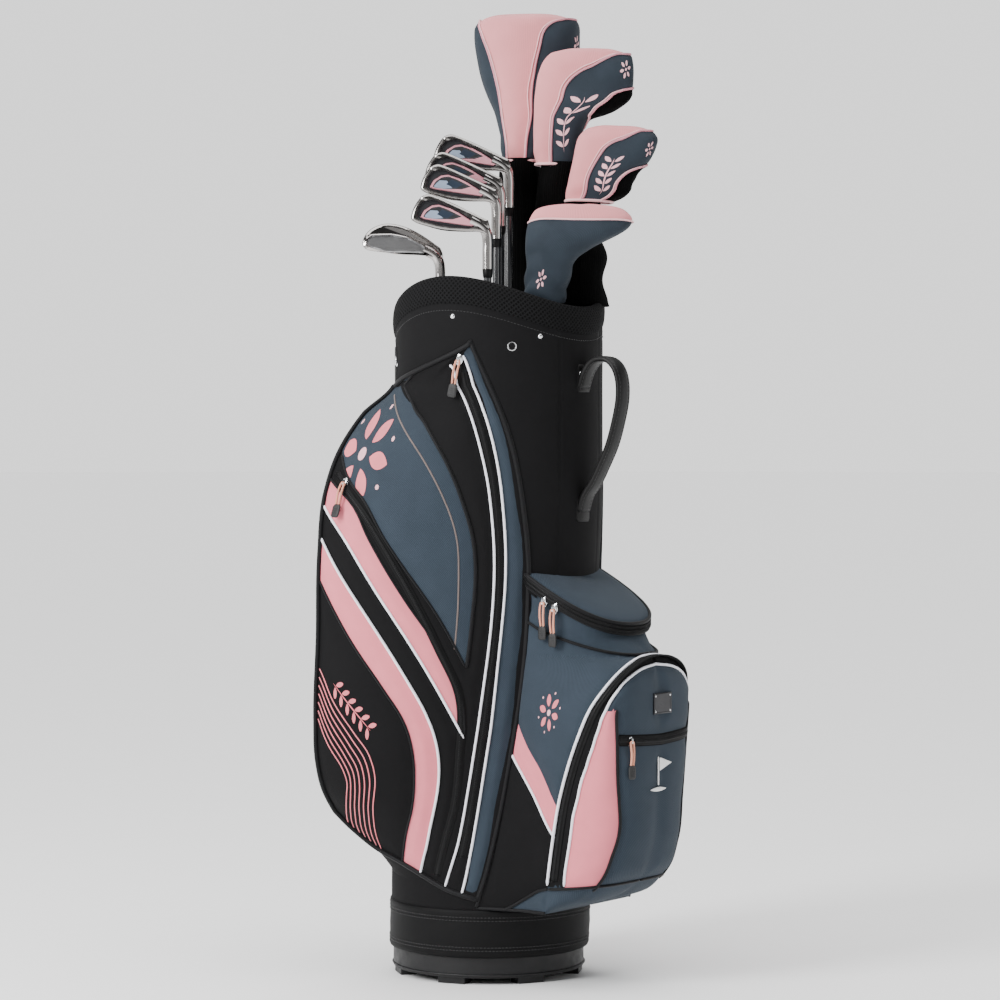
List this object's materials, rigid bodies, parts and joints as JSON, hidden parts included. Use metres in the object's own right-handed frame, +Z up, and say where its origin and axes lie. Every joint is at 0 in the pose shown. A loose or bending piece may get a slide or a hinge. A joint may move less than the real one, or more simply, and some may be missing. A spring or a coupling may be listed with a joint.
{
  "type": "golf club set",
  "caption": "Cart golf bag with divided top, zipped side, ball and cooler pockets, holding woods, irons, wedges and a putter with padded headcovers.",
  "frame": {"origin": "centre of the bag's round base, on the ground", "axes": "+Z up along the bag, -Y towards the front with the ball pocket and grab handle, side pockets on -X and +X"},
  "size_m": [0.3988, 0.3975, 1.1835],
  "materials": {
    "base_plastic": "moulded, fine texture",
    "foam": "closed cell foam",
    "black_nylon": "woven nylon",
    "black_fabric": "woven polyester",
    "slate_fabric": "twill polyester",
    "pink_fabric": "woven polyester",
    "black_mesh": "spacer mesh",
    "divider_plastic": "moulded",
    "divider_fabric": "brushed lining",
    "strap_leather": "stitched, semi gloss",
    "chrome_trim": "polished",
    "zip_metal": "die-cast, satin",
    "pull_cord": "cord and ribbed rubber tab",
    "plate_metal": "black satin plate",
    "club_steel": "satin cast steel",
    "wood_paint": "gloss paint",
    "putter_metal": "dark satin",
    "graphite": "clear coated graphite",
    "grip_rubber": "moulded grip",
    "cover_fabric": "padded twill, knit neck"
  },
  "bodies": {
    "bag": {"base_moulding": "base_plastic", "floor_pad": "foam", "base_band": "black_nylon", "tube_shell": "black_fabric", "top_ring": "divider_plastic", "top_divider_walls": "divider_plastic", "divider_panels": "divider_fabric", "cuff_collar": "black_mesh", "side_pocket_left": "slate_fabric", "side_pocket_right": "slate_fabric", "ball_pocket_back": "slate_fabric", "cooler_pocket": "slate_fabric", "handle_strap": "strap_leather", "handle_rivets": "chrome_trim", "collar_studs": "chrome_trim", "side_zip_sliders": "zip_metal", "cooler_zip_sliders": "zip_metal"},
    "driver": {"driver_head": "wood_paint", "driver_shaft": "graphite", "driver_grip": "grip_rubber"},
    "driver_headcover": {"driver_cover": "cover_fabric"},
    "fairway": {"fairway_head": "wood_paint", "fairway_shaft": "graphite", "fairway_grip": "grip_rubber"},
    "fairway_headcover": {"fairway_cover": "cover_fabric"},
    "hybrid": {"hybrid_head": "wood_paint", "hybrid_shaft": "graphite", "hybrid_grip": "grip_rubber"},
    "hybrid_headcover": {"hybrid_cover": "cover_fabric"},
    "iron_7": {"iron_7_head": "club_steel", "iron_7_shaft": "graphite", "iron_7_grip": "grip_rubber"},
    "iron_8": {"iron_8_head": "club_steel", "iron_8_shaft": "graphite", "iron_8_grip": "grip_rubber"},
    "iron_9": {"iron_9_head": "club_steel", "iron_9_shaft": "graphite", "iron_9_grip": "grip_rubber"},
    "pitching_wedge": {"pitching_wedge_head": "club_steel", "pitching_wedge_shaft": "graphite", "pitching_wedge_grip": "grip_rubber"},
    "sand_wedge": {"sand_wedge_head": "club_steel", "sand_wedge_shaft": "graphite", "sand_wedge_grip": "grip_rubber"},
    "putter": {"putter_head": "putter_metal", "putter_shaft": "graphite", "putter_grip": "grip_rubber"},
    "putter_headcover": {"putter_cover": "cover_fabric"},
    "cooler_lid": {"cooler_lid": "slate_fabric"},
    "ball_pocket_door": {"ball_pocket_door": "pink_fabric", "name_plate": "plate_metal"},
    "front_zip_slider": {"front_zip_slider": "zip_metal"},
    "side_zip_pull_left_upper": {"side_zip_pull_left_upper": "pull_cord"},
    "side_zip_pull_right_upper": {"side_zip_pull_right_upper": "pull_cord"},
    "side_zip_pull_left_lower": {"side_zip_pull_left_lower": "pull_cord"},
    "side_zip_pull_right_lower": {"side_zip_pull_right_lower": "pull_cord"},
    "cooler_zip_pull_a": {"cooler_zip_pull_a": "pull_cord"},
    "cooler_zip_pull_b": {"cooler_zip_pull_b": "pull_cord"},
    "front_zip_pull": {"front_zip_pull": "pull_cord"}
  },
  "joints": [
    {"name": "driver_lift", "type": "slide", "parent": "bag", "child": "driver", "axis": [0, 0, 1], "range_m": [0, 0.85]},
    {"name": "driver_cover_off", "type": "slide", "parent": "driver", "child": "driver_headcover", "axis": [0, 0, 1], "range_m": [0, 0.36], "deforming": ["driver_cover"]},
    {"name": "fairway_lift", "type": "slide", "parent": "bag", "child": "fairway", "axis": [0.002, -0.021, 0.9998], "range_m": [0, 0.85]},
    {"name": "fairway_cover_off", "type": "slide", "parent": "fairway", "child": "fairway_headcover", "axis": [0.002, -0.021, 0.9998], "range_m": [0, 0.25], "deforming": ["fairway_cover"]},
    {"name": "hybrid_lift", "type": "slide", "parent": "bag", "child": "hybrid", "axis": [0.021, -0.0125, 0.9997], "range_m": [0, 0.85]},
    {"name": "hybrid_cover_off", "type": "slide", "parent": "hybrid", "child": "hybrid_headcover", "axis": [0.021, -0.0125, 0.9997], "range_m": [0, 0.21], "deforming": ["hybrid_cover"]},
    {"name": "iron_7_lift", "type": "slide", "parent": "bag", "child": "iron_7", "axis": [0, 0, 1], "range_m": [0, 0.85]},
    {"name": "iron_8_lift", "type": "slide", "parent": "bag", "child": "iron_8", "axis": [0, 0, 1], "range_m": [0, 0.85]},
    {"name": "iron_9_lift", "type": "slide", "parent": "bag", "child": "iron_9", "axis": [0, 0, 1], "range_m": [0, 0.85]},
    {"name": "pitching_wedge_lift", "type": "slide", "parent": "bag", "child": "pitching_wedge", "axis": [0, 0, 1], "range_m": [0, 0.85]},
    {"name": "sand_wedge_lift", "type": "slide", "parent": "bag", "child": "sand_wedge", "axis": [0, 0, 1], "range_m": [0, 0.85]},
    {"name": "putter_lift", "type": "slide", "parent": "bag", "child": "putter", "axis": [0, 0, 1], "range_m": [0, 0.85]},
    {"name": "putter_cover_off", "type": "slide", "parent": "putter", "child": "putter_headcover", "axis": [0, 0, 1], "range_m": [0, 0.14], "deforming": ["putter_cover"]},
    {"name": "cooler_lid_hinge", "type": "hinge", "parent": "bag", "child": "cooler_lid", "pos_m": [0, -0.144, 0.48115], "axis": [-1, 0, 0], "range_deg": [0, 95]},
    {"name": "ball_pocket_door_hinge", "type": "hinge", "parent": "bag", "child": "ball_pocket_door", "pos_m": [0, -0.15025, 0.093], "axis": [1, 0, 0], "range_deg": [0, 55]},
    {"name": "front_zip_slide", "type": "slide", "parent": "ball_pocket_door", "child": "front_zip_slider", "axis": [0.986, -0.167, 0], "range_m": [0, 0.052]},
    {"name": "side_zip_pull_left_upper_swing", "type": "hinge", "parent": "bag", "child": "side_zip_pull_left_upper", "pos_m": [-0.12959, -0.04891, 0.75206], "axis": [-0.2455, 0.9493, 0.1961], "range_deg": [0, 120]},
    {"name": "side_zip_pull_right_upper_swing", "type": "hinge", "parent": "bag", "child": "side_zip_pull_right_upper", "pos_m": [0.12959, -0.04891, 0.75206], "axis": [-0.2455, -0.9493, -0.1961], "range_deg": [0, 120]},
    {"name": "side_zip_pull_left_lower_swing", "type": "hinge", "parent": "bag", "child": "side_zip_pull_left_lower", "pos_m": [-0.18265, 0.0847, 0.60535], "axis": [0.0093, 0.9997, 0.0241], "range_deg": [0, 120]},
    {"name": "side_zip_pull_right_lower_swing", "type": "hinge", "parent": "bag", "child": "side_zip_pull_right_lower", "pos_m": [0.18265, 0.0847, 0.60535], "axis": [0.0093, -0.9997, -0.0241], "range_deg": [0, 120]},
    {"name": "cooler_zip_pull_a_swing", "type": "hinge", "parent": "bag", "child": "cooler_zip_pull_a", "pos_m": [-0.0842, -0.141, 0.463], "axis": [0, 1, 0], "range_deg": [0, 120]},
    {"name": "cooler_zip_pull_b_swing", "type": "hinge", "parent": "bag", "child": "cooler_zip_pull_b", "pos_m": [-0.0842, -0.156, 0.455], "axis": [0, 1, 0], "range_deg": [0, 120]},
    {"name": "front_zip_pull_swing", "type": "hinge", "parent": "front_zip_slider", "child": "front_zip_pull", "pos_m": [-0.05903, -0.25371, 0.301], "axis": [-0.986, 0.167, 0], "range_deg": [0, 120]}
  ]
}
